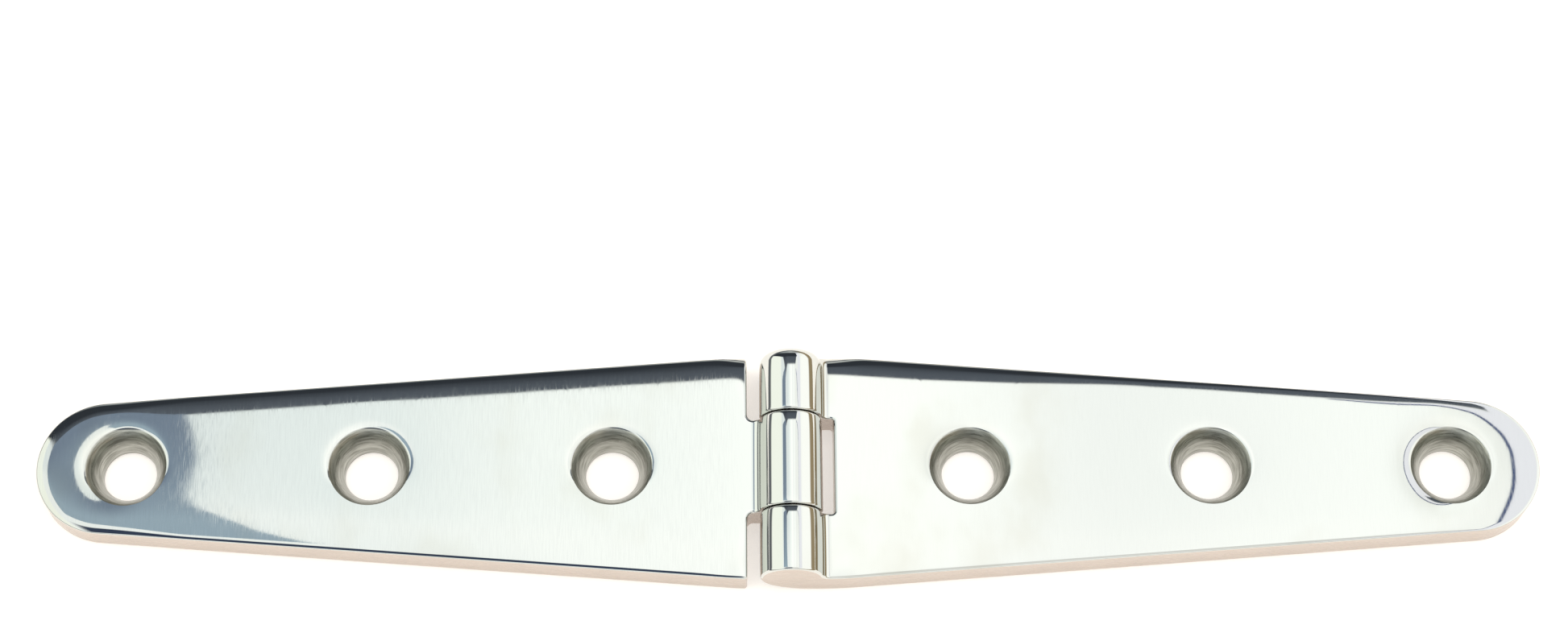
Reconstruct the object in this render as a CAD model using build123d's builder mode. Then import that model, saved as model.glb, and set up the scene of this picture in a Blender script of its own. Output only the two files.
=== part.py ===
"""Cast stainless strap hinge: two tapered leaves that turn on one hidden pin.

Frame: X runs along the length, Y along the pin and Z out of the polished front.
The back of both leaves lies on Z = 0, and the barrel is over the origin.
"""

import os
from math import atan2, cos, radians, sin, sqrt, tan

from build123d import *

os.makedirs("parts", exist_ok=True)

# Leaves
length = 178.0  # tip to tip, opened flat
width = 28.6  # where the tapered sides would meet the pin's line
thickness = 4.4
side_taper = radians(4.34)  # of each long side, against the centre line
shoulder_radius = 60.0  # plan arc from the tapered side to the barrel's end
rim_radius = 0.4  # broken edge all round a leaf

# Barrel
axis_height = 4.45  # just above the front, so that the leaves fold face to face
barrel_radius = 3.75
barrel_half_length = 13.9
web_fillet = 0.9  # hollow fillet between the front and the barrel
back_sweep = 8.0  # radius that eases the flat back into the barrel
knuckle_half_length = 5.8  # the left leaf's single middle knuckle
knuckle_edge = 0.25  # broken edge at each end of the middle knuckle
joint_gap = 0.12  # between the middle knuckle and each outer one

# Clearances beside the barrel
left_wall = 5.2  # from the pin's line to the left leaf's square shoulders
notch_corner = 0.75
slot_wall = 5.1  # from the pin's line to the end of the right leaf's slot
slot_corner = 0.4

# Pin, driven in and closed off with weld that is ground flush
pin_radius = 2.0
pin_half_length = 12.4
pin_chamfer = 0.3
running_clearance = 0.05  # radial, in the middle knuckle

# Screw holes: a wide seat, a steep throat and a short straight bore
screw_offsets = (21.2, 49.8, 78.4)  # from the pin's line
seat_radius = 4.8
seat_depth = 1.1
throat_radius = 3.75
throat_depth = 3.3
bore_radius = 3.15

# The rounded tip touches both tapered sides
tip_radius = (width / 2 - tan(side_taper) * length / 2) * cos(side_taper) / (1 - sin(side_taper))
tip_centre = length / 2 - tip_radius
side_end = (tip_centre + tip_radius * sin(side_taper), tip_radius * cos(side_taper))

# The shoulder arc touches the tapered side and the barrel's square end
shoulder_y = barrel_half_length - shoulder_radius
shoulder_x = (width / 2 - shoulder_radius / cos(side_taper) - shoulder_y) / tan(side_taper)
side_start = (
    shoulder_x + shoulder_radius * sin(side_taper),
    shoulder_y + shoulder_radius * cos(side_taper),
)


def around(centre, radius, angle):
    """The point at this angle, in radians, on a circle."""
    return (centre[0] + radius * cos(angle), centre[1] + radius * sin(angle))


# Section of the barrel and its web: circles that touch one another
axis = (0.0, axis_height)
fillet_x = sqrt((barrel_radius + web_fillet) ** 2 - (thickness + web_fillet - axis_height) ** 2)
fillet_centre = (fillet_x, thickness + web_fillet)
fillet_angle = atan2(fillet_centre[1] - axis_height, fillet_x)
sweep_x = sqrt((back_sweep - barrel_radius) ** 2 - (back_sweep - axis_height) ** 2)
sweep_centre = (sweep_x, back_sweep)
sweep_angle = atan2(axis_height - back_sweep, -sweep_x) + radians(360)

# One leaf with a barrel across its whole width, on the +X side
with BuildPart() as leaf_blank:
    with BuildSketch(Plane.XZ):
        with BuildLine():
            front_of_barrel = around(axis, barrel_radius, fillet_angle)
            back_of_barrel = around(axis, barrel_radius, sweep_angle)
            Line((length / 2, 0), (sweep_x, 0))
            ThreePointArc(
                (sweep_x, 0),
                around(sweep_centre, back_sweep, (sweep_angle + radians(270)) / 2),
                back_of_barrel,
            )
            ThreePointArc(
                back_of_barrel,
                around(axis, barrel_radius, (sweep_angle + fillet_angle) / 2),
                front_of_barrel,
            )
            ThreePointArc(
                front_of_barrel,
                around(fillet_centre, web_fillet, (fillet_angle + radians(180 + 270)) / 2),
                (fillet_x, thickness),
            )
            Line((fillet_x, thickness), (length / 2, thickness))
            Line((length / 2, thickness), (length / 2, 0))
        make_face()
    extrude(amount=width, both=True)
    with BuildSketch(Plane.XY):
        with BuildLine() as upper_side:
            Line((-2 * barrel_radius, barrel_half_length), (shoulder_x, barrel_half_length))
            ThreePointArc(
                (shoulder_x, barrel_half_length),
                around((shoulder_x, shoulder_y), shoulder_radius, radians(90) - side_taper / 2),
                side_start,
            )
            Line(side_start, side_end)
            ThreePointArc(
                side_end,
                around((tip_centre, 0), tip_radius, (radians(90) - side_taper) / 2),
                (length / 2, 0),
            )
            mirror(about=Plane.XZ)
            Line((-2 * barrel_radius, barrel_half_length), (-2 * barrel_radius, -barrel_half_length))
        make_face()
    extrude(amount=3 * barrel_radius, mode=Mode.INTERSECT)
    rims = leaf_blank.edges().filter_by(Axis.Y, reverse=True).filter_by(Axis.Z, reverse=True)
    fillet(rims, rim_radius)

# Cutter for one countersunk screw hole, its seat level with the front
with BuildPart() as screw_hole:
    with BuildSketch(Plane.XZ):
        with BuildLine():
            Polyline(
                (0, 0),
                (bore_radius, 0),
                (bore_radius, thickness - throat_depth),
                (throat_radius, thickness - seat_depth),
                (seat_radius, thickness),
                (0, thickness),
                close=True,
            )
        make_face()
    revolve(axis=Axis.Z)


def knuckle_end_edges(part, y):
    """The barrel's round edges in the planes at plus or minus this y."""
    return part.edges().filter_by(
        lambda edge: abs(abs(edge.center().Y) - y) < 0.01
        and edge.center().Z > axis_height
        and abs(edge.bounding_box().size.Y) < 0.01
    )


# Left leaf: the middle knuckle, which turns on the pin, between two square shoulders
with BuildPart() as left_leaf:
    mirror(leaf_blank.part, about=Plane.YZ)
    with BuildSketch(Plane.XY):
        with Locations((-left_wall, knuckle_half_length), (-left_wall, -width)):
            RectangleRounded(width, width - knuckle_half_length, notch_corner, align=Align.MIN)
    extrude(amount=3 * barrel_radius, mode=Mode.SUBTRACT)
    fillet(knuckle_end_edges(left_leaf, knuckle_half_length), knuckle_edge)
    with Locations((0, 0, axis_height)):
        Cylinder(
            pin_radius + running_clearance,
            2 * width,
            rotation=(90, 0, 0),
            mode=Mode.SUBTRACT,
        )
    with Locations(*[(-x, 0, 0) for x in screw_offsets]):
        add(screw_hole.part, mode=Mode.SUBTRACT)
left_leaf.part.label = "left_leaf"
export_step(left_leaf.part, "parts/left_leaf.step")

# Right leaf: the two outer knuckles, which grip the pin, either side of a slot
with BuildPart() as right_leaf:
    add(leaf_blank.part)
    slot_half_width = knuckle_half_length + joint_gap
    with BuildSketch(Plane.XY):
        with Locations((slot_wall, 0)):
            RectangleRounded(width, 2 * slot_half_width, slot_corner, align=(Align.MAX, Align.CENTER))
    extrude(amount=3 * barrel_radius, mode=Mode.SUBTRACT)
    with Locations((0, 0, axis_height)):
        Cylinder(pin_radius, 2 * pin_half_length, rotation=(90, 0, 0), mode=Mode.SUBTRACT)
    with Locations(*[(x, 0, 0) for x in screw_offsets]):
        add(screw_hole.part, mode=Mode.SUBTRACT)
right_leaf.part.label = "right_leaf"
export_step(right_leaf.part, "parts/right_leaf.step")

# Hinge pin, fast in the right leaf
with BuildPart() as hinge_pin:
    with Locations((0, 0, axis_height)):
        Cylinder(pin_radius, 2 * pin_half_length, rotation=(90, 0, 0))
    chamfer(hinge_pin.edges().filter_by(GeomType.CIRCLE), pin_chamfer)
hinge_pin.part.label = "hinge_pin"
export_step(hinge_pin.part, "parts/hinge_pin.step")
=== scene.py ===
"""Polished strap hinge: two cast stainless leaves that turn on one hidden pin.

Frame: X runs along the hinge, Y along the pin and Z out of the polished front. Metres.
Each leaf is modelled over its plan, which has two coordinates. y is the frame's Y. s is the
distance from the pin's line along the flat, and where the section curls round the barrel it
is the way left to walk over the barrel to root_start, where front and back meet.
"""

import math

import bmesh
import bpy
import numpy as np
from mathutils import Matrix, Vector


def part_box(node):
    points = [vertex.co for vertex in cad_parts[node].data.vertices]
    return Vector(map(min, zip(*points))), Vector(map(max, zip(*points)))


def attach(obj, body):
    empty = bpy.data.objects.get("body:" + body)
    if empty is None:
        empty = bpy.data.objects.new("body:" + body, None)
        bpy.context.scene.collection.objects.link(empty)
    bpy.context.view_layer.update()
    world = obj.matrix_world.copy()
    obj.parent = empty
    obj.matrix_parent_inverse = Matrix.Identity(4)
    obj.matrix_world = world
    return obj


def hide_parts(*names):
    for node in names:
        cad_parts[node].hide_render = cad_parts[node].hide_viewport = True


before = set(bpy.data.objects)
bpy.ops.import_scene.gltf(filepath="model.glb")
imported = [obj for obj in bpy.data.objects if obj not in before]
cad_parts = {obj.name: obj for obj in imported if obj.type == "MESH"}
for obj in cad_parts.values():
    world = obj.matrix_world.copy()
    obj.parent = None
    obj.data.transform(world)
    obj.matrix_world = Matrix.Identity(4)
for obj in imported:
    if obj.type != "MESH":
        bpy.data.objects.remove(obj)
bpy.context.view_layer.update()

MM = 0.001

# ---------------------------------------------------------------------------
# Sizes
# ---------------------------------------------------------------------------

# Read from the frame
_, leaf_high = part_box("right_leaf")
pin_low, pin_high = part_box("hinge_pin")
half_length = leaf_high.x
barrel_half_length = leaf_high.y
axis_height = (pin_low.z + pin_high.z) / 2
barrel_radius = leaf_high.z - axis_height
pin_radius = (pin_high.z - pin_low.z) / 2
bore_end = pin_high.y

# Leaf outline, seen from the front
width_at_pin = 28.6 * MM  # where the tapered sides would meet the pin's line
side_taper = math.radians(4.34)
shoulder_radius = 60.0 * MM
tip_radius = (width_at_pin / 2 - math.tan(side_taper) * half_length) * math.cos(side_taper)
tip_radius /= 1 - math.sin(side_taper)
tip_centre = half_length - tip_radius
side_end = tip_centre + tip_radius * math.sin(side_taper)
shoulder_y = barrel_half_length - shoulder_radius
shoulder_start = width_at_pin / 2 - shoulder_radius / math.cos(side_taper) - shoulder_y
shoulder_start /= math.tan(side_taper)
side_start = shoulder_start + shoulder_radius * math.sin(side_taper)

# Section of a leaf
thickness = 4.4 * MM
web_fillet = 0.9 * MM  # hollow fillet between the front and the barrel
back_sweep = 8.0 * MM  # radius that eases the flat back into the barrel
web_rise = thickness + web_fillet - axis_height
web_x = math.sqrt((barrel_radius + web_fillet) ** 2 - web_rise**2)
web_angle = math.atan2(web_rise, web_x)
sweep_x = math.sqrt((back_sweep - barrel_radius) ** 2 - (back_sweep - axis_height) ** 2)
sweep_angle = math.atan2(axis_height - back_sweep, -sweep_x) + 2 * math.pi
join_x = 4.6 * MM  # from here to the tip, s is simply the distance from the pin's line

barrel_walk = barrel_radius * (math.pi - web_angle)
web_walk = web_fillet * (math.pi / 2 - web_angle)
root_start = web_x - barrel_walk - web_walk
back_barrel_walk = barrel_radius * (sweep_angle - math.pi)
back_sweep_walk = back_sweep * (3 * math.pi / 2 - sweep_angle)
back_walk = back_barrel_walk + back_sweep_walk + join_x - sweep_x
back_pace = back_walk / (join_x - root_start)

# Knuckles and the clearances beside them
knuckle_half_length = 5.8 * MM
joint_gap = 0.12 * MM
pin_clearances = {"left": 0.05 * MM, "right": 0.02 * MM}
left_wall = 5.2 * MM
right_wall = 5.1 * MM
notch_corner = 0.75 * MM
slot_corner = 0.4 * MM

# Screw holes
screw_offsets = (21.2 * MM, 49.8 * MM, 78.4 * MM)
seat_radius = 4.8 * MM
seat_depth = 1.1 * MM
throat_radius = 3.75 * MM
throat_depth = 3.3 * MM
bore_radius = 3.15 * MM
bore_chamfer = 0.12 * MM

# Wear of the polishing wheel: rounded edges, a crowned face and dished hole rims
upper_rim = 0.9 * MM
lower_rim = 0.55 * MM
upper_end_rim = 1.4 * MM
lower_end_rim = 0.3 * MM
tip_rims = {"left": 1.7 * MM, "right": 0.5 * MM}
inner_rim = 0.3 * MM
back_rim = 0.35 * MM
upper_flatness = 0.3  # depth of the outline's rounding beside its width
lower_flatness = 0.5
right_rim_loss = 0.65  # narrowing of the right leaf's upper edge towards the tip
right_crown_loss = 0.6  # flattening of the right leaf's front along the flat
lower_end_loss = 0.8  # flattening of the front beside the barrel's lower end
# Stretches of s over which one kind of wear passes into the next
off_barrel = (3 * MM, 12 * MM)
onto_flat = (3 * MM, 9 * MM)
towards_tip = (70 * MM, 86 * MM)
right_rim_stretch = (20 * MM, 70 * MM)
right_crown_stretch = (12 * MM, 42 * MM)
# Each of these is a drop and the distance over which it fades
side_crowns = {"left": (0.245 * MM, 1.4 * MM), "right": (0.21 * MM, 1.2 * MM)}
tip_crowns = {"left": (0.25 * MM, 1.5 * MM), "right": (0.20 * MM, 2.6 * MM)}
rim_dishes = {"left": (0.095 * MM, 0.24 * MM), "right": (0.06 * MM, 0.20 * MM)}
wide_dish = (0.03 * MM, 1.8 * MM)
tip_dishes = {"left": (0.15 * MM, 2.2 * MM), "right": (0.12 * MM, 1.2 * MM)}
upper_knuckle_crown = (0.11 * MM, 1.0 * MM)
lower_knuckle_crown = (0.03 * MM, 0.3 * MM)
wall_crown = (0.09 * MM, 0.5 * MM)

# Waviness of the cast back
cast_depth = 0.03 * MM
cast_wave_lengths = (1.9 * MM, 2.3 * MM, 2.9 * MM, 3.7 * MM, 4.6 * MM, 6.1 * MM)

# Mesh
WELD = 2e-6
GOLDEN_TURN = math.pi * (3 - math.sqrt(5))
PATCH = 6.5 * MM  # half length of the stretch of leaf that is gridded round each hole
INNER_ROWS = 16
OUTER_ROWS = 18
PATCH_COLUMNS = 28
TIP_COLUMNS = 104
RINGS = 20
RIM_STEPS = 7
WALL_STEPS = 4
CORNER_STATIONS = 7
BARREL_COLUMNS = 64
WALL_COLUMNS = 6
ROOT_COLUMNS = 20
MIDDLE_COLUMNS = 30
THROAT_STEPS = 16
BORE_STEPS = 4
PIN_BORE_STEPS = 8
SHARP_ANGLE = math.radians(32)

POLISHED, SATIN, MACHINED, CAST = range(4)


# ---------------------------------------------------------------------------
# Small helpers
# ---------------------------------------------------------------------------

def smooth(value, low, high):
    """0 below low, 1 above high and an S curve between."""
    t = np.clip((value - low) / (high - low), 0.0, 1.0)
    return t * t * (3 - 2 * t)


def spread(count, crowding):
    """count + 1 numbers from 0 to 1, closer together at both ends."""
    q = np.arange(count + 1) / count
    return q - crowding * np.sin(2 * math.pi * q) / (2 * math.pi)


# ---------------------------------------------------------------------------
# Outline: how far a leaf reaches on each side, and how round its edges are
# ---------------------------------------------------------------------------

def half_width(s):
    """The outline's distance from the centre line, up to where the tip's arc starts."""
    turn = np.clip(s - shoulder_start, 0.0, side_start - shoulder_start)
    shoulder = shoulder_y + np.sqrt(shoulder_radius**2 - turn**2)
    return np.where(s < side_start, shoulder, width_at_pin / 2 - math.tan(side_taper) * s)


def rim_width(s, upper, side):
    """Width of the rounded front edge along the outline."""
    at_end, along = (upper_end_rim, upper_rim) if upper else (lower_end_rim, lower_rim)
    if side == "right" and upper:
        along = along * (1 - right_rim_loss * smooth(s, *right_rim_stretch))
    width = at_end + (along - at_end) * smooth(s, *off_barrel)
    return width + (tip_rims[side] - width) * smooth(s, *towards_tip)


def rim_depth(s, upper, width):
    """Depth of that edge: as deep as wide on the barrel, and shallower along the flat, most
    of all on the upper side and round the tip."""
    flatness = upper_flatness
    if not upper:
        to_upper = smooth(s, *towards_tip)
        flatness = lower_flatness + (upper_flatness - lower_flatness) * to_upper
    return width * (1 + (flatness - 1) * smooth(s, *onto_flat))


def edge_distance(s, y):
    """Distance in plan from the outline, which runs round the sides and the tip."""
    side = (half_width(s) - np.abs(y)) * math.cos(side_taper)
    tip = tip_radius - np.hypot(s - tip_centre, y)
    return np.where(s > side_end, tip, side)


# ---------------------------------------------------------------------------
# Surfaces of the section
# ---------------------------------------------------------------------------

def front_profile(s):
    """Points and outward directions, in X and Z, over the barrel, the web and the front."""
    walk = s - root_start
    on_barrel = math.pi - walk / barrel_radius
    on_web = math.pi + web_angle + (walk - barrel_walk) / web_fillet
    barrel = walk < barrel_walk
    web = (walk >= barrel_walk) & (walk < barrel_walk + web_walk)
    x = np.where(web, web_x + web_fillet * np.cos(on_web), s)
    x = np.where(barrel, barrel_radius * np.cos(on_barrel), x)
    z = np.where(web, thickness + web_fillet + web_fillet * np.sin(on_web), thickness)
    z = np.where(barrel, axis_height + barrel_radius * np.sin(on_barrel), z)
    out_x = np.where(web, -np.cos(on_web), 0.0)
    out_x = np.where(barrel, np.cos(on_barrel), out_x)
    out_z = np.where(web, -np.sin(on_web), 1.0)
    out_z = np.where(barrel, np.sin(on_barrel), out_z)
    return x, z, out_x, out_z


def back_profile(s):
    """Points and outward directions, in X and Z, under the barrel and over the flat back."""
    walk = (s - root_start) * back_pace
    on_barrel = math.pi + walk / barrel_radius
    on_sweep = sweep_angle + (walk - back_barrel_walk) / back_sweep
    flat_x = np.where(s < join_x, sweep_x + walk - back_barrel_walk - back_sweep_walk, s)
    barrel = walk < back_barrel_walk
    sweep = (walk >= back_barrel_walk) & (walk < back_barrel_walk + back_sweep_walk)
    x = np.where(sweep, sweep_x + back_sweep * np.cos(on_sweep), flat_x)
    x = np.where(barrel, barrel_radius * np.cos(on_barrel), x)
    z = np.where(sweep, back_sweep + back_sweep * np.sin(on_sweep), 0.0)
    z = np.where(barrel, axis_height + barrel_radius * np.sin(on_barrel), z)
    out_x = np.where(sweep, np.cos(on_sweep), 0.0)
    out_x = np.where(barrel, np.cos(on_barrel), out_x)
    out_z = np.where(sweep, np.sin(on_sweep), -1.0)
    out_z = np.where(barrel, np.sin(on_barrel), out_z)
    return x, z, out_x, out_z


def fading(distance, drop_and_reach):
    """A drop that fades with the distance from an edge."""
    drop, reach = drop_and_reach
    return drop * np.exp(-np.maximum(distance, 0.0) / reach)


def dish(s, y, side, centre):
    """Drop of the front round one hole: a steep part close to the rim and a slight, wide one.

    Both spare the hole's lower side, which the wheel leaves last. At the tip the wide part
    is deepest on the left instead."""
    from_centre = np.maximum(np.hypot(s - centre, y), WELD)
    beyond = from_centre - seat_radius
    below = -y / from_centre
    leftward = (s - centre) / from_centre * (1 if side == "left" else -1)
    close = fading(beyond, rim_dishes[side]) * (1 - smooth(below, -0.4, 0.6))
    if centre == screw_offsets[-1]:
        return close + fading(beyond, tip_dishes[side]) * smooth(leftward - 0.3 * below, -1.3, 0.7)
    return close + fading(beyond, wide_dish) * (1 - smooth(below, -0.4, 1.0))


def tip_share(s, y, side):
    """How far a place counts as the tip. The right leaf is worn at its very end only."""
    if side == "left":
        return smooth(s, 64 * MM, 80 * MM)
    from_tip_centre = np.hypot(s - tip_centre, y)
    return smooth((s - tip_centre) / np.maximum(from_tip_centre, WELD), -0.5, 1.0)


def front_drop(s, y, side):
    """How far polishing has lowered the front below its true section."""
    edge = edge_distance(s, y)
    at_tip = tip_share(s, y, side)
    at_lower_end = (1 - smooth(s, 3 * MM, 8 * MM)) * (y < 0)
    lowered = fading(edge, side_crowns[side]) * (1 - at_tip) * (1 - lower_end_loss * at_lower_end)
    if side == "right":
        lowered = lowered * (1 - right_crown_loss * smooth(s, *right_crown_stretch))
    lowered = lowered + fading(edge, tip_crowns[side]) * at_tip
    for centre in screw_offsets:
        lowered = lowered + dish(s, y, side, centre)
    on_flat = smooth(s, 3 * MM, 4.5 * MM)
    if side == "left":
        beside_wall = smooth(np.abs(y), knuckle_half_length + 0.8 * MM, barrel_half_length)
        lowered = lowered + fading(s - left_wall, wall_crown) * beside_wall
    return lowered + knuckle_drop(y, side) * (1 - on_flat)


def knuckle_drop(y, side):
    """Wear where the knuckles meet. A knuckle's upper end is worn far more than its lower one."""
    if side == "left":
        upper = fading(knuckle_half_length - y, upper_knuckle_crown)
        return upper + fading(knuckle_half_length + y, lower_knuckle_crown)
    from_end = np.abs(y) - knuckle_half_length - joint_gap
    upper = fading(from_end, upper_knuckle_crown)
    return np.where(y < 0, upper, fading(from_end, lower_knuckle_crown))


def front_points(s, y, side):
    """The front as polishing has left it."""
    x, z, out_x, out_z = front_profile(s)
    drop = front_drop(s, y, side)
    return np.stack([x - out_x * drop, y, z - out_z * drop], axis=-1)


def near_start(s):
    """1 where front and back meet, behind the barrel, and 0 well away from there."""
    return 1 - smooth(s, root_start, root_start + 0.4 * barrel_walk)


def cast_waves(s, y):
    """Shallow waviness of the unpolished back, always into the metal."""
    height = np.zeros_like(s)
    for number, length in enumerate(cast_wave_lengths):
        heading = number * GOLDEN_TURN
        along = s * math.cos(heading) + y * math.sin(heading)
        height = height + np.sin(2 * math.pi * along / length + number)
    share = 0.5 + height / (2 * len(cast_wave_lengths))
    return share * cast_depth * smooth(s, 7 * MM, 14 * MM)


def back_points(s, y, side):
    """The back, with the casting's waviness on its flat part."""
    x, z, out_x, out_z = back_profile(s)
    drop = front_drop(s, y, side) * near_start(s) + cast_waves(s, y)
    return np.stack([x - out_x * drop, y, z - out_z * drop], axis=-1)


def base_direction(profile, s):
    """Outward direction of the true section."""
    _, _, out_x, out_z = profile(s)
    return np.stack([out_x, np.zeros_like(out_x), out_z], axis=-1)


def surface_normals(points, s, y, side):
    """Outward directions of the front or back as it is, from its slopes."""
    step = 0.01 * MM
    along = points(s + step, y, side) - points(s - step, y, side)
    across = points(s, y + step, side) - points(s, y - step, side)
    normals = np.cross(along, across)
    return normals / np.linalg.norm(normals, axis=-1, keepdims=True)


# ---------------------------------------------------------------------------
# Plan of a leaf, as quads
# ---------------------------------------------------------------------------

class Plan:
    """Quads over one leaf. Each corner has a place on the front and a place on the back."""

    def __init__(self):
        self.index = {}
        self.front = []
        self.back = []
        self.quads = []

    def corner(self, front, back):
        key = tuple(np.round(np.asarray(front) / WELD).astype(int))
        if key not in self.index:
            self.index[key] = len(self.front)
            self.front.append(tuple(front))
            self.back.append(tuple(back))
        return self.index[key]

    def add_grid(self, front, back=None):
        back = front if back is None else back
        rows, columns = front.shape[:2]
        ids = []
        for front_row, back_row in zip(front, back):
            ids.append([self.corner(*pair) for pair in zip(front_row, back_row)])
        for i in range(rows - 1):
            for j in range(columns - 1):
                self.quads.append((ids[i][j], ids[i + 1][j], ids[i + 1][j + 1], ids[i][j + 1]))


def inner_reach(s, upper, side):
    """How far the leaf goes sideways before its edge starts to turn."""
    return half_width(s) - rim_width(s, upper, side) / math.cos(side_taper)


def rows_at(s, split, side):
    """y of every row at one s, from the lower side to the upper one.

    Near the barrel a row runs exactly along plus and minus split, where the knuckles part."""
    inner = 1 - (1 - np.arange(INNER_ROWS + 1) / INNER_ROWS) ** 1.3
    outer = spread(OUTER_ROWS, 0.7)[1:]
    even = np.arange(INNER_ROWS + OUTER_ROWS + 1) / (INNER_ROWS + OUTER_ROWS)
    even = even * 1.6 - 0.6 * even**2
    blend = smooth(s, 6.2 * MM, screw_offsets[0] - PATCH)
    halves = []
    for upper in (False, True):
        reach = inner_reach(s, upper, side)
        near = np.concatenate([inner * split, split + (reach - split) * outer])
        halves.append(near * (1 - blend) + even * reach * blend)
    return np.concatenate([-halves[0][:0:-1], halves[1]])


def lattice(columns, split, side, rows=slice(None)):
    """Plan points where the rows cross lines of equal s."""
    grid = []
    for s in columns:
        ys = rows_at(s, split, side)[rows]
        grid.append(np.stack([np.full_like(ys, s), ys], axis=-1))
    return np.array(grid)


def hole_patch(plan, centre, outline):
    """Rings from a hole's rim out to a closed outline of plan points, in anticlockwise order."""
    offset = outline - np.array([centre, 0.0])
    angle = np.arctan2(offset[:, 1], offset[:, 0])
    circle = np.stack([np.cos(angle), np.sin(angle)], axis=-1)
    middle = np.array([centre, 0.0])
    step = spread(RINGS, 0.85)[:, None, None]
    front = (middle + circle * seat_radius) * (1 - step) + outline * step
    back = (middle + circle * (bore_radius + bore_chamfer)) * (1 - step) + outline * step
    plan.add_grid(front, back)


def side_line(low, high, count, upper, side):
    """Plan points along one long side's inner edge, from low to high."""
    s = np.linspace(low, high, count + 1)
    reach = inner_reach(s, upper, side)
    return np.stack([s, reach if upper else -reach], axis=-1)


def tip_line(low, side):
    """Plan points from the lower side round the tip to the upper side."""
    straight = (side_end - low) / math.cos(side_taper)
    half_arc = tip_radius * (math.pi / 2 - side_taper)
    walk = np.linspace(-1, 1, TIP_COLUMNS + 1) * (straight + half_arc)
    points = []
    for w in walk:
        upper = w > 0
        if abs(w) <= half_arc:
            angle = w / tip_radius
            outline = (tip_centre + tip_radius * math.cos(angle), tip_radius * math.sin(angle))
            out = (math.cos(angle), math.sin(angle))
        else:
            back = abs(w) - half_arc
            s = side_end - back * math.cos(side_taper)
            outline = (s, math.copysign(half_width(s), w))
            out = (math.sin(side_taper), math.copysign(math.cos(side_taper), w))
        rim = rim_width(outline[0], upper, side)
        points.append((outline[0] - rim * out[0], outline[1] - rim * out[1]))
    points[0] = side_line(low, side_end, 1, False, side)[0]
    points[-1] = side_line(low, side_end, 1, True, side)[0]
    return np.array(points)


def round_inner_corner(points, corner_s, corner_y, radius):
    """Moves plan points so that the hollow corners at plus and minus corner_y become arcs.

    corner_y is negative for a slot, whose hollow lies towards the centre line."""
    points = np.array(points)
    sign = np.where(points[:, 1] < 0, -1.0, 1.0)
    facing = math.copysign(1.0, corner_y)
    u = corner_s - points[:, 0]
    w = (np.abs(points[:, 1]) - abs(corner_y)) * facing
    t = np.clip(u - w, -radius, radius)
    depth = np.minimum(u, w)
    gain = (2 * radius - np.sqrt(2 * radius**2 - t**2) - np.abs(t)) / 2
    gain = gain * np.clip(1 + depth / (3 * radius), 0.0, 1.0)
    points[:, 0] -= gain
    points[:, 1] += gain * facing * sign
    return points


def leaf_plan(side):
    """All the quads of one leaf, inside its rounded edges."""
    plan = Plan()
    if side == "left":
        split = knuckle_half_length - inner_rim
        wall = left_wall + inner_rim
        knuckles = [slice(OUTER_ROWS, OUTER_ROWS + 2 * INNER_ROWS + 1)]
    else:
        split = knuckle_half_length + joint_gap + inner_rim
        wall = right_wall + inner_rim
        knuckles = [slice(0, OUTER_ROWS + 1), slice(OUTER_ROWS + 2 * INNER_ROWS, None)]

    barrel = np.linspace(root_start, join_x, BARREL_COLUMNS + 1)
    to_wall = np.linspace(join_x, wall, WALL_COLUMNS + 1)[1:]
    for rows in knuckles:
        plan.add_grid(lattice(np.concatenate([barrel, to_wall]), split, side, rows))

    starts = [centre - PATCH for centre in screw_offsets]
    ends = [centre + PATCH for centre in screw_offsets]
    root = wall + (starts[0] - wall) * (np.arange(ROOT_COLUMNS + 1) / ROOT_COLUMNS) ** 1.4
    plan.add_grid(lattice(root, split, side))
    for low, high in zip(ends[:-1], starts[1:]):
        plan.add_grid(lattice(np.linspace(low, high, MIDDLE_COLUMNS + 1), split, side))

    for centre, low, high in zip(screw_offsets, starts, ends):
        left_side = lattice([low], split, side)[0][::-1]
        if centre == screw_offsets[-1]:
            outline = np.concatenate([tip_line(low, side), left_side[1:]])
        else:
            outline = np.concatenate([
                side_line(low, high, PATCH_COLUMNS, False, side),
                lattice([high], split, side)[0][1:],
                side_line(low, high, PATCH_COLUMNS, True, side)[::-1][1:],
                left_side[1:],
            ])
        hole_patch(plan, centre, outline)

    if side == "left":
        corner = (wall, split, notch_corner + inner_rim)
    else:
        corner = (wall, -split, slot_corner + inner_rim)
    plan.front = round_inner_corner(plan.front, *corner)
    plan.back = round_inner_corner(plan.back, *corner)
    return plan


# ---------------------------------------------------------------------------
# Solid of a leaf
# ---------------------------------------------------------------------------

class Solid:
    """Collects points and faces, each face with the finish it has."""

    def __init__(self):
        self.points = []
        self.faces = []
        self.finishes = []

    def add_points(self, points):
        first = len(self.points)
        self.points.extend(map(tuple, points))
        return np.arange(first, first + len(points))

    def add_face(self, corners, finish):
        self.faces.append(tuple(int(c) for c in corners))
        self.finishes.append(finish)

    def add_strip(self, rows, finish, closed=False):
        """Quads between rows of equally many points."""
        ids = [self.add_points(row) for row in rows]
        count = len(ids[0])
        for lower, upper in zip(ids[:-1], ids[1:]):
            for i in range(count if closed else count - 1):
                j = (i + 1) % count
                self.add_face((lower[i], lower[j], upper[j], upper[i]), finish)


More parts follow.
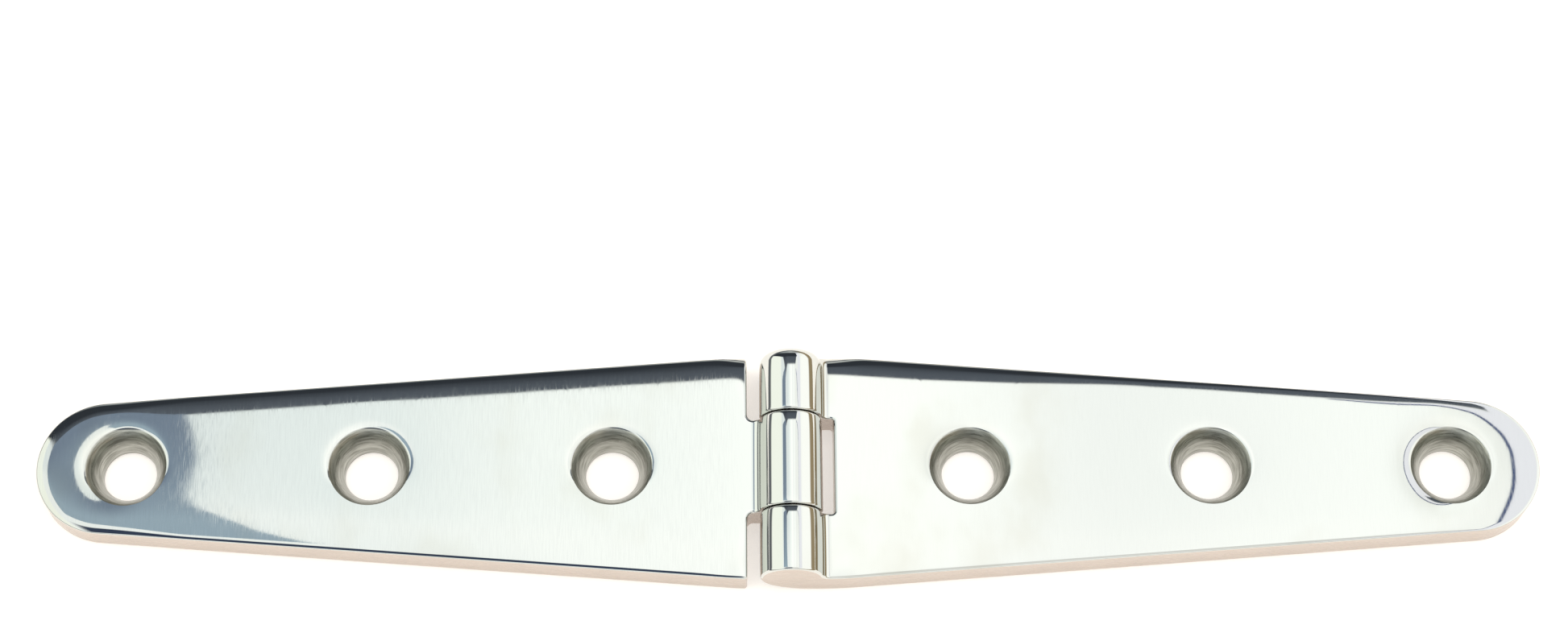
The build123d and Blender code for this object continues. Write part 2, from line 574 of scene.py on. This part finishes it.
def boundary_paths(plan):
    """Open paths and closed loops of boundary corners, with the leaf on their left. The
    barrel's far line, where front and back meet, is left out."""
    edges = set()
    for quad in plan.quads:
        edges.update(zip(quad, quad[1:] + quad[:1]))
    on_start = {i for i, (s, _) in enumerate(plan.front) if s < root_start + WELD}
    follow = {}
    for a, b in edges:
        if (b, a) not in edges and not (a in on_start and b in on_start):
            follow[a] = b
    paths = []
    for start in sorted(set(follow) - set(follow.values())):
        path = [start]
        while path[-1] in follow:
            path.append(follow.pop(path[-1]))
        paths.append(path)
    loops = []
    while follow:
        loop = [min(follow)]
        while loop[-1] in follow:
            loop.append(follow.pop(loop[-1]))
        loops.append(loop[:-1])
    return paths, loops


def path_edges(plan, path, side):
    """The edge's stations: plan corner, outward width of its rounding, and its depth.

    A square corner gets several stations, so that the rounding turns with it."""
    points = plan.front[path]
    gaps = np.diff(points, axis=0)
    gaps = gaps / np.linalg.norm(gaps, axis=1, keepdims=True)
    outward = np.stack([gaps[:, 1], -gaps[:, 0]], axis=-1)
    limit = (left_wall if side == "left" else right_wall) + inner_rim + WELD
    stations = []
    for i, corner in enumerate(path):
        before = outward[max(i - 1, 0)]
        after = outward[min(i, len(outward) - 1)]
        s, y = points[i]
        on_outline = abs(y) > inner_reach(s, y > 0, side) - WELD or s > side_start
        rim = rim_width(s, y > 0, side)
        if before @ after < 0.5 and s < limit:
            first = inner_rim if abs(before[0]) > 0.5 else rim
            last = inner_rim if abs(after[0]) > 0.5 else rim
            for turn in np.linspace(0, math.pi / 2, CORNER_STATIONS):
                outward_width = before * first * math.cos(turn) + after * last * math.sin(turn)
                width = first + (last - first) * math.sin(turn) ** 2
                outline_share = abs(width - inner_rim) / max(abs(rim - inner_rim), WELD)
                full_depth = rim_depth(s, y > 0, rim)
                depth = inner_rim + (full_depth - inner_rim) * min(outline_share, 1.0)
                stations.append((corner, outward_width, depth))
        else:
            across = before + after
            across = across / np.linalg.norm(across)
            width = rim if on_outline else inner_rim
            depth = rim_depth(s, y > 0, rim) if on_outline else inner_rim
            stations.append((corner, across * width, depth))
    return stations


def rounded_edge(points, base, slope, reach, depth, steps):
    """Rows of points that turn from a surface into the wall beside it, along an ellipse."""
    rows = []
    tilt = np.arcsin(np.clip(slope, 0.0, 0.7))
    start = np.arctan(np.tan(tilt) * np.linalg.norm(reach, axis=1) / depth)
    for step in np.linspace(0, 1, steps + 1):
        angle = start + (math.pi / 2 - start) * step
        sink = (np.cos(angle) - np.cos(start)) * depth
        out = (np.sin(angle) - np.sin(start)) / (1 - np.sin(start))
        rows.append(points + base * sink[:, None] + reach * out[:, None])
    return rows


def in_space(plan_directions):
    """Plan directions as directions in space."""
    level = np.zeros(len(plan_directions))
    return np.stack([plan_directions[:, 0], plan_directions[:, 1], level], axis=-1)


def bore_rows(s, front_end, back_end, radius):
    """Where a knuckle's end face meets its bore: points over and under the pin, and the
    angles at which they stand."""
    x, z, _, _ = front_profile(s)
    angle = np.arctan2(z - axis_height, x)
    angle[s <= root_start + WELD] = math.pi
    reached = x < 0.85 * barrel_radius
    last = angle[reached].min()
    turn = (angle - last) / (math.pi - last) * math.pi
    bore_x = radius * np.cos(turn)
    bore_rise = radius * np.sin(turn)
    face_y = front_end[:, 1]
    over = np.stack([bore_x, face_y, axis_height + bore_rise], axis=-1)
    under = np.stack([bore_x, face_y, axis_height - bore_rise], axis=-1)
    middle = (front_end + back_end) / 2
    over = np.where(reached[:, None], over, middle)
    under = np.where(reached[:, None], under, middle)
    return over, under, turn[reached]


def add_edges(solid, plan, path, side, bored_radius):
    """The rounded edges and the wall between front and back along one path.

    Returns the angles of the bore's points on the knuckle's end faces, if it has them."""
    stations = path_edges(plan, path, side)
    corners = np.array([station[0] for station in stations])
    reach = in_space(np.array([station[1] for station in stations]))
    depth = np.array([station[2] for station in stations])
    width = np.linalg.norm(reach, axis=1)
    unit = reach / width[:, None]

    s, y = plan.front[corners].T
    top = front_points(s, y, side)
    top_base = base_direction(front_profile, s)
    slope = np.sum(surface_normals(front_points, s, y, side) * unit, axis=1)
    front_rows = rounded_edge(top, top_base, slope, reach, depth, RIM_STEPS)

    under = back_points(s, y, side)
    under_base = base_direction(back_profile, s)
    back_depth = np.minimum(depth, back_rim)
    back_depth = back_depth + (depth - back_depth) * near_start(s)
    back_width = np.minimum(width, back_rim)
    back_width = back_width + (width - back_width) * near_start(s)
    back_slope = -np.sum(surface_normals(back_points, s, y, side) * unit, axis=1)
    gap = (width - back_width)[:, None] * unit
    # The back's edge is sharper, so its flat reaches further out before it turns.
    flat_rows = [under + gap * share for share in (0.0, 0.5, 1.0)]
    back_reach = unit * back_width[:, None]
    turned = rounded_edge(under + gap, under_base, back_slope, back_reach, back_depth, RIM_STEPS)
    back_rows = flat_rows[:-1] + turned
    front_end = front_rows[-1]
    back_end = back_rows[-1]

    beside_bore = (s < join_x + 1 * MM) & (np.abs(y) < 0.6 * barrel_half_length)
    end_face = beside_bore & (np.abs(unit[:, 1]) > 0.999)
    over = (front_end + back_end) / 2
    under_pin = over.copy()
    turns = None
    for upper in (False, True):
        mask = end_face & ((y > 0) == upper)
        if mask.sum() > 4:
            ends = (front_end[mask], back_end[mask])
            over[mask], under_pin[mask], turns = bore_rows(s[mask], *ends, bored_radius)
    share = np.linspace(0, 1, WALL_STEPS + 1)
    upper_wall = [front_end * (1 - t) + over * t for t in share]
    lower_wall = [under_pin * (1 - t) + back_end * t for t in share]
    solid.add_strip(front_rows, POLISHED)
    solid.add_strip(upper_wall, SATIN)
    solid.add_strip(lower_wall, SATIN)
    solid.add_strip(back_rows[::-1][: RIM_STEPS + 1], SATIN)
    solid.add_strip(flat_rows[::-1], CAST)
    return turns


def add_screw_hole(solid, plan, loop, side):
    """A countersunk hole: a wide seat, a steep throat and a short straight bore."""
    s, y = plan.front[loop].T
    centre = min(screw_offsets, key=lambda offset: abs(offset - s.mean()))
    rim = front_points(s, y, side)
    bottom = back_points(*plan.back[loop].T, side)
    out = np.stack([s - centre, y], axis=-1) / seat_radius
    rows = [rim]

    def ring(radius, z):
        height = np.full(len(s), z)
        return np.stack([centre + out[:, 0] * radius, out[:, 1] * radius, height], axis=-1)

    seat_z = thickness - seat_depth
    throat_z = thickness - throat_depth
    # The cutter's corner is worn, so the seat runs into the throat in one curve.
    between = ring(throat_radius, seat_z)
    end = ring(bore_radius, throat_z)
    for t in np.linspace(0, 1, THROAT_STEPS + 1)[1:]:
        rows.append(rim * (1 - t) ** 2 + between * (2 * t * (1 - t)) + end * t**2)
    for t in np.linspace(0, 1, BORE_STEPS + 1)[1:]:
        rows.append(ring(bore_radius, throat_z + (bore_chamfer - throat_z) * t))
    rows.append(bottom)
    solid.add_strip(rows, MACHINED, closed=True)


def add_bore(solid, turns, radius, low, high, blind):
    """The pin's bore between two end faces, or from one face to its blind end at high."""
    angles = np.concatenate([turns, -turns[::-1][1:-1]])
    circle = np.stack([radius * np.cos(angles), axis_height + radius * np.sin(angles)], axis=-1)
    rows = []
    for t in np.linspace(0, 1, PIN_BORE_STEPS + 1):
        y = low + (high - low) * t
        rows.append(np.stack([circle[:, 0], np.full(len(circle), y), circle[:, 1]], axis=-1))
    solid.add_strip(rows, MACHINED, closed=True)
    if blind:
        solid.add_face(solid.add_points(rows[-1]), MACHINED)


def leaf_mesh(side):
    """One whole leaf on the +X side, as points, faces and finishes."""
    plan = leaf_plan(side)
    solid = Solid()
    s, y = plan.front.T
    top = solid.add_points(front_points(s, y, side))
    under = solid.add_points(back_points(*plan.back.T, side))
    for quad in plan.quads:
        solid.add_face([top[i] for i in quad], POLISHED)
        solid.add_face([under[i] for i in quad[::-1]], CAST)
    paths, loops = boundary_paths(plan)
    bored_radius = pin_radius + pin_clearances[side]
    turns = None
    for path in paths:
        found = add_edges(solid, plan, path, side, bored_radius)
        turns = found if found is not None else turns
    for loop in loops:
        add_screw_hole(solid, plan, loop, side)
    face_y = knuckle_half_length if side == "left" else knuckle_half_length + joint_gap
    if side == "left":
        add_bore(solid, turns, bored_radius, -face_y, face_y, False)
    else:
        add_bore(solid, turns, bored_radius, face_y, bore_end, True)
        add_bore(solid, turns, bored_radius, -face_y, -bore_end, True)
    return solid


def leaf_piece(side):
    """The leaf as a Blender object that takes the place of its CAD solid."""
    solid = leaf_mesh(side)
    points = np.array(solid.points)
    if side == "left":
        points[:, 0] *= -1
    name = side + "_leaf_polished"
    mesh = bpy.data.meshes.new(name)
    mesh.from_pydata(points.tolist(), [], solid.faces)
    mesh.polygons.foreach_set("material_index", solid.finishes)
    bm = bmesh.new()
    bm.from_mesh(mesh)
    bmesh.ops.remove_doubles(bm, verts=bm.verts, dist=WELD)
    bmesh.ops.dissolve_degenerate(bm, edges=bm.edges, dist=WELD / 4)
    bmesh.ops.recalc_face_normals(bm, faces=bm.faces)
    for face in bm.faces:
        face.smooth = True
    bm.to_mesh(mesh)
    bm.free()
    mesh.set_sharp_from_angle(angle=SHARP_ANGLE)
    piece = bpy.data.objects.new(name, mesh)
    bpy.context.scene.collection.objects.link(piece)
    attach(piece, side + "_leaf_body")
    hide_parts(side + "_leaf")
    return piece


# ---------------------------------------------------------------------------
# Materials
# ---------------------------------------------------------------------------

class Graph:
    """Adds nodes to one node tree."""

    def __init__(self, tree):
        self.tree = tree

    def add(self, kind, inputs=(), **settings):
        node = self.tree.nodes.new("ShaderNode" + kind)
        for name, value in settings.items():
            setattr(node, name, value)
        for key, value in dict(inputs).items():
            if isinstance(value, bpy.types.NodeSocket):
                self.tree.links.new(value, node.inputs[key])
            else:
                node.inputs[key].default_value = value
        return node

    def math(self, operation, *values):
        return self.add("Math", enumerate(values), operation=operation).outputs[0]

    def times(self, first, second):
        return self.math("MULTIPLY", first, second)

    def rest(self, share):
        """What is left of 1."""
        return self.math("SUBTRACT", 1.0, share)

    def axes(self, vector):
        """A vector's X, Y and Z."""
        return self.add("SeparateXYZ", {"Vector": vector}).outputs

    def ramp(self, value, low, high, start=0.0, end=1.0):
        """start below low, end above high and an S curve between."""
        inputs = {"Value": value, "From Min": low, "From Max": high, "To Min": start, "To Max": end}
        return self.add("MapRange", inputs, interpolation_type="SMOOTHSTEP").outputs[0]

    def mix(self, factor, first, second):
        """Blends two colours."""
        node = self.add("Mix", data_type="RGBA")
        for name, value in (("Factor_Float", factor), ("A_Color", first), ("B_Color", second)):
            socket = next(s for s in node.inputs if s.identifier == name)
            if isinstance(value, bpy.types.NodeSocket):
                self.tree.links.new(value, socket)
            else:
                socket.default_value = value if name == "Factor_Float" else (*value, 1.0)
        return next(s for s in node.outputs if s.identifier == "Result_Color")

    def noise(self, place, grain, detail=2.0, roughness=0.5):
        """Noise whose grains measure this many millimetres along X, Y and Z."""
        scale = [1 / (size * MM) for size in grain]
        mapped = self.add("Mapping", {"Vector": place, "Scale": scale}, vector_type="POINT")
        inputs = {"Vector": mapped.outputs[0], "Scale": 1.0}
        inputs.update({"Detail": detail, "Roughness": roughness})
        return self.add("TexNoise", inputs).outputs["Fac"]

    def bump(self, height, depth, normal=None):
        """Surface relief as deep as depth, in metres, where height goes from 0 to 1."""
        inputs = {"Height": height, "Distance": depth, "Strength": 1.0}
        if normal is not None:
            inputs["Normal"] = normal
        return self.add("Bump", inputs).outputs[0]


def metal(name, colour, roughness, normal):
    """A steel finish. The three makers take the graph and the object's own coordinates."""
    material = bpy.data.materials.new(name)
    material.use_nodes = True
    graph = Graph(material.node_tree)
    shader = material.node_tree.nodes["Principled BSDF"]
    shader.inputs["Metallic"].default_value = 1.0
    place = graph.add("TexCoord").outputs["Object"]
    material.node_tree.links.new(colour(graph, place), shader.inputs["Base Color"])
    material.node_tree.links.new(roughness(graph, place), shader.inputs["Roughness"])
    material.node_tree.links.new(normal(graph, place), shader.inputs["Normal"])
    return material


def polished_steel():
    """Mirror finish with the faint cross lines that the polishing wheel leaves."""
    clean = (0.66, 0.67, 0.65)
    lined = (0.635, 0.645, 0.627)
    hazy = (0.61, 0.61, 0.57)
    least_roughness = 0.03
    line_roughness = 0.075

    def on_flat(graph, place):
        """Where the lines are: none on the barrel, and fainter ones on the right leaf."""
        x = graph.axes(place)["X"]
        flat = graph.ramp(graph.math("ABSOLUTE", x), 4 * MM, 9 * MM)
        return graph.times(flat, graph.ramp(x, -10 * MM, 10 * MM, 1.0, 0.35))

    def colour(graph, place):
        haze = graph.ramp(graph.noise(place, (9, 14, 9), 3), 0.5, 0.8)
        lines = graph.ramp(graph.noise(place, (0.12, 2.4, 2), 3), 0.35, 0.70)
        lines = graph.times(lines, on_flat(graph, place))
        return graph.mix(haze, graph.mix(lines, clean, lined), hazy)

    def roughness(graph, place):
        lines = graph.ramp(graph.noise(place, (0.09, 1.5, 2), 3), 0.40, 0.76)
        lines = graph.times(lines, on_flat(graph, place))
        return graph.math("MULTIPLY_ADD", lines, line_roughness, least_roughness)

    def normal(graph, place):
        fine = graph.times(graph.noise(place, (0.10, 1.4, 2), 3), on_flat(graph, place))
        wide = graph.bump(graph.noise(place, (9, 12, 9), 1), 0.010 * MM)
        return graph.bump(fine, 0.0002 * MM, wide)

    return metal("polished_steel", colour, roughness, normal)


def satin_steel_painted_reflection():
    """Linished sides, with lines that run along the leaf. Their pinkish warmth is a painted
    reflection of the warm table top; the grey steel under it is real.
    """
    def colour(graph, place):
        shade = graph.noise(place, (5, 5, 2), 2)
        # Painted reflection: both tones carry a pink-beige tint that stands in for the warm table
        # mirrored in the sides, over the steel's own grey.
        return graph.mix(shade, (0.59, 0.51, 0.455), (0.53, 0.455, 0.40))

    def roughness(graph, place):
        return graph.ramp(graph.noise(place, (3, 3, 0.3), 3), 0.3, 0.7, 0.20, 0.32)

    def normal(graph, place):
        return graph.bump(graph.noise(place, (2.5, 2.5, 0.12), 3), 0.006 * MM)

    return metal("satin_steel_painted_reflection", colour, roughness, normal)


def machined_steel():
    """Countersinks and bores, with the rings that the tool leaves."""
    def colour(graph, place):
        rings = graph.noise(place, (2.2, 2.2, 0.22), 3)
        return graph.mix(graph.ramp(rings, 0.3, 0.7), (0.26, 0.26, 0.23), (0.49, 0.49, 0.45))

    def roughness(graph, place):
        return graph.ramp(graph.noise(place, (1.5, 1.5, 0.15), 2), 0.3, 0.7, 0.27, 0.38)

    def normal(graph, place):
        return graph.bump(graph.noise(place, (3.5, 3.5, 0.16), 3), 0.011 * MM)

    return metal("machined_steel", colour, roughness, normal)


def cast_steel():
    """The back: orange-peel skin of the casting, partly ground, and buffed near the barrel."""
    def buffed(graph, place):
        """1 near the barrel and 0 along the flat, with a ragged border."""
        from_pin = graph.math("ABSOLUTE", graph.axes(place)["X"])
        ragged = graph.times(graph.noise(place, (5, 5, 5), 1), 4 * MM)
        return graph.ramp(graph.math("ADD", from_pin, ragged), 5.5 * MM, 12 * MM, 1.0, 0.0)

    def skin(graph, place):
        """Height of the orange peel, about half as deep where it is ground."""
        ground = graph.ramp(graph.noise(place, (1.2, 9, 4), 3), 0.40, 0.62)
        pits = graph.noise(place, (0.55, 0.55, 0.55), 2, 0.55)
        return graph.times(pits, graph.rest(graph.times(ground, 0.55)))

    def colour(graph, place):
        shade = graph.mix(graph.noise(place, (6, 10, 6), 3), (0.42, 0.43, 0.42), (0.60, 0.61, 0.60))
        return graph.mix(buffed(graph, place), shade, (0.64, 0.65, 0.63))

    def roughness(graph, place):
        rough = graph.ramp(graph.noise(place, (0.4, 4, 2), 3), 0.3, 0.7, 0.30, 0.46)
        return graph.times(rough, graph.rest(graph.times(buffed(graph, place), 0.80)))

    def normal(graph, place):
        unbuffed = graph.rest(buffed(graph, place))
        lines = graph.times(graph.noise(place, (0.12, 5, 2), 2), unbuffed)
        lines = graph.bump(lines, 0.007 * MM)
        return graph.bump(graph.times(skin(graph, place), unbuffed), 0.16 * MM, lines)

    return metal("cast_steel", colour, roughness, normal)


def pin_steel():
    """The pin's bar, with fine rings round it."""
    def colour(graph, place):
        return graph.mix(graph.noise(place, (1, 1, 1)), (0.55, 0.55, 0.53), (0.48, 0.48, 0.46))

    def roughness(graph, place):
        return graph.ramp(graph.noise(place, (2, 0.1, 2), 3), 0.3, 0.7, 0.2, 0.35)

    def normal(graph, place):
        return graph.bump(graph.noise(place, (2, 0.08, 2), 2), 0.005 * MM)

    return metal("drawn_pin_steel", colour, roughness, normal)


# ---------------------------------------------------------------------------
# Studio
# ---------------------------------------------------------------------------

# Brightness of the overhead panel at each direction's x
panel_tones = (
    (-0.19, (1.08, 1.16, 1.16)),
    (-0.12, (1.17, 1.26, 1.25)),
    (-0.04, (1.38, 1.44, 1.40)),
    (0.05, (1.52, 1.55, 1.50)),
    (0.12, (1.34, 1.38, 1.35)),
    (0.20, (1.44, 1.48, 1.44)),
    (0.26, (1.28, 1.31, 1.26)),
)

# The hung strips. Their edges are points in millimetres, from front to back.
strip_height = 468 * MM
strip_blend = (105 * MM, 185 * MM)  # where a strip passes from its front tone to its own
far_front = -500
far_back = 800
gap_right = [
    (-120, 25), (-135, 104), (-142.6, 127), (-148.5, 136), (-151, 146), (-149.5, 152),
    (-148.3, 160), (-150.5, 168), (-152.3, 173), (-156, 190), (-160, 212),
]
gap_left = [(-268, 25), (-268, 212)]
seam_left = [(224, far_front), (224, 172), (220, 182), (205, 192), (185, 200), (160, 206)]
seam_right = [(229, far_front), (229, 173), (225, 185), (209, 196), (187, 204), (160, 209)]
cool_left = seam_right + [(229, 213), (229, far_back)]
cool_right = [(330, far_front), (330, far_back)]


def make_floor():
    """A pale table top just under the hinge, lit a little from within."""
    mesh = bpy.data.meshes.new("floor")
    reach = 3.0
    level = -0.1 * MM
    corners = [(x * reach, y * reach, level) for x, y in ((-1, -1), (1, -1), (1, 1), (-1, 1))]
    mesh.from_pydata(corners, [], [(0, 1, 2, 3)])
    floor = bpy.data.objects.new("floor", mesh)
    bpy.context.scene.collection.objects.link(floor)
    material = bpy.data.materials.new("pale_floor")
    material.use_nodes = True
    shader = material.node_tree.nodes["Principled BSDF"]
    shader.inputs["Base Color"].default_value = (0.66, 0.63, 0.60, 1.0)
    shader.inputs["Roughness"].default_value = 0.8
    shader.inputs["Emission Color"].default_value = (1.0, 0.95, 0.90, 1.0)
    shader.inputs["Emission Strength"].default_value = 0.52
    mesh.materials.append(material)


def make_camera():
    """Above and in front of the hinge, looking down on it at about 69 degrees."""
    data = bpy.data.cameras.new("camera")
    data.sensor_width = 36.0
    data.lens = 75.9
    camera = bpy.data.objects.new("camera", data)
    forward = Vector((0.0197, 0.3632, -0.9315)).normalized()
    right = Vector((0.9998, -0.0076, 0.0182))
    right = (right - forward * right.dot(forward)).normalized()
    up = right.cross(forward)
    turn = Matrix((right, up, -forward)).transposed().to_4x4()
    camera.matrix_world = Matrix.Translation(Vector((-0.00852, -0.12597, 0.3748))) @ turn
    bpy.context.scene.collection.objects.link(camera)
    bpy.context.scene.camera = camera


def hang_strip(name, right_edge, left_edge, tone, front_tone=None):
    """A strip hung under the overhead panels. It shows only in reflections, where it shifts
    against the panels from one end of the hinge to the other. With a front tone, the strip
    blends into it towards the front."""
    corners = [(x * MM, y * MM, strip_height) for x, y in right_edge + left_edge[::-1]]
    mesh = bpy.data.meshes.new(name)
    mesh.from_pydata(corners, [], [range(len(corners))])
    strip = bpy.data.objects.new(name, mesh)
    bpy.context.scene.collection.objects.link(strip)
    strip.visible_camera = False
    strip.visible_diffuse = False
    strip.visible_shadow = False
    material = bpy.data.materials.new(name)
    material.use_nodes = True
    shader = material.node_tree.nodes["Principled BSDF"]
    shader.inputs["Base Color"].default_value = (0.0, 0.0, 0.0, 1.0)
    shader.inputs["Specular IOR Level"].default_value = 0.0
    shader.inputs["Emission Color"].default_value = (*tone, 1.0)
    shader.inputs["Emission Strength"].default_value = 1.0
    if front_tone is not None:
        graph = Graph(material.node_tree)
        place = graph.add("TexCoord").outputs["Object"]
        y = graph.axes(place)["Y"]
        blend = graph.mix(graph.ramp(y, *strip_blend), front_tone, tone)
        material.node_tree.links.new(blend, shader.inputs["Emission Color"])
    mesh.materials.append(material)


def make_strips():
    """The dark gap on the left, and the seam and the cooler panel on the right."""
    hang_strip("dark_gap", gap_right, gap_left, (0.25, 0.32, 0.42), (0.44, 0.57, 0.67))
    hang_strip("seam", seam_right, seam_left, (0.03, 0.07, 0.22))
    hang_strip("cool_panel", cool_right, cool_left, (1.20, 1.21, 1.28))


def make_world():
    """A light tent: pale panels all round, with the dark gaps between them that a mirror
    finish shows as lines and bands."""
    world = bpy.data.worlds.new("studio")
    bpy.context.scene.world = world
    world.use_nodes = True
    graph = Graph(world.node_tree)
    direction = graph.add("TexCoord").outputs["Generated"]
    x, y, z = graph.axes(direction)

    def both(*values):
        product = values[0]
        for value in values[1:]:
            product = graph.times(product, value)
        return product

    def beside(value, centre, reach):
        """1 at centre, 0 further away than reach."""
        distance = graph.math("ABSOLUTE", graph.math("SUBTRACT", value, centre))
        return graph.ramp(distance, 0.0, reach, 1.0, 0.0)

    # The overhead panel is brightest a little right of its middle, and towards the front
    overhead = panel_tones[0][1]
    for (start, _), (end, tone) in zip(panel_tones[:-1], panel_tones[1:]):
        overhead = graph.mix(graph.ramp(x, start, end), overhead, tone)
    overhead = graph.mix(graph.ramp(y, 0.27, 0.33, 0.35, 0.0), overhead, (1.55, 1.55, 1.50))
    left_panel = graph.ramp(x, -0.55, -0.50, 1.0, 0.0)
    colour = graph.mix(left_panel, overhead, (1.32, 1.37, 1.24))
    colour = graph.mix(graph.ramp(x, 0.45, 0.65), colour, (1.46, 1.47, 1.41))

    # The back is open beyond the overhead panels, whose corners are round. The opening
    # starts further back on the right and closes on the far left.
    aside = graph.math("DIVIDE", x, graph.math("MAXIMUM", z, 0.05))
    corner = both(beside(x, -0.33, 0.17), 0.045)
    far_corner = graph.ramp(x, -0.92, -0.75, 0.05, 0.0)
    lift = graph.ramp(aside, 0.32, 0.75, 0.0, 0.45)
    behind = graph.math("ADD", y, graph.math("ADD", corner, far_corner))
    behind = graph.math("SUBTRACT", behind, lift)
    leftmost = graph.math("MULTIPLY_ADD", x, 0.58, y)
    back_gap = both(
        graph.ramp(behind, 0.388, 0.400),
        graph.ramp(y, 0.80, 0.93, 1.0, 0.55),
        graph.ramp(leftmost, 0.17, 0.21),
    )
    depth = graph.mix(graph.ramp(behind, 0.40, 0.56), (0.125, 0.145, 0.175), (0.04, 0.047, 0.058))
    colour = graph.mix(back_gap, colour, depth)

    # The front is open round the camera: dark on the left, and pale on the right
    front_gap = both(
        graph.ramp(x, -0.50, -0.32),
        graph.ramp(x, 0.30, 0.42, 1.0, 0.0),
        graph.ramp(y, -0.22, -0.14, 1.0, 0.0),
        graph.ramp(y, -0.84, -0.76),
    )
    front_tone = graph.mix(graph.ramp(x, -0.05, 0.08), (0.05, 0.07, 0.12), (0.98, 0.98, 0.94))
    colour = graph.mix(front_gap, colour, front_tone)

    # A dark skirting round the horizon, brown wood on the right
    rise = graph.ramp(x, -0.5, 0.5, 0.0, 0.08)
    above = graph.math("SUBTRACT", z, rise)
    skirting = graph.ramp(above, 0.15, 0.26, 1.0, 0.0)
    wood = graph.mix(graph.ramp(x, 0.0, 0.6), (0.17, 0.18, 0.19), (0.42, 0.33, 0.20))
    colour = graph.mix(skirting, colour, wood)

    # Seen directly, the studio is plain
    camera_ray = graph.add("LightPath").outputs["Is Camera Ray"]
    colour = graph.mix(camera_ray, colour, (0.93, 0.93, 0.93))
    background = world.node_tree.nodes["Background"]
    world.node_tree.links.new(colour, background.inputs["Color"])
    background.inputs["Strength"].default_value = 1.0


def make_softbox():
    """Soft top light for the floor and the duller finishes."""
    data = bpy.data.lights.new("softbox", "AREA")
    data.shape = "RECTANGLE"
    data.size = 1.6
    data.size_y = 1.2
    data.energy = 8.0
    softbox = bpy.data.objects.new("softbox", data)
    softbox.location = (0.0, 0.1, 1.3)
    softbox.visible_glossy = False
    bpy.context.scene.collection.objects.link(softbox)


make_camera()
make_floor()
make_strips()
make_world()
make_softbox()
bpy.context.scene.view_settings.view_transform = "Standard"

finishes = [polished_steel(), satin_steel_painted_reflection(), machined_steel(), cast_steel()]
for leaf_side in ("left", "right"):
    leaf = leaf_piece(leaf_side)
    for finish in finishes:
        leaf.data.materials.append(finish)

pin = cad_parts["hinge_pin"]
pin.data.materials.clear()
pin.data.materials.append(pin_steel())
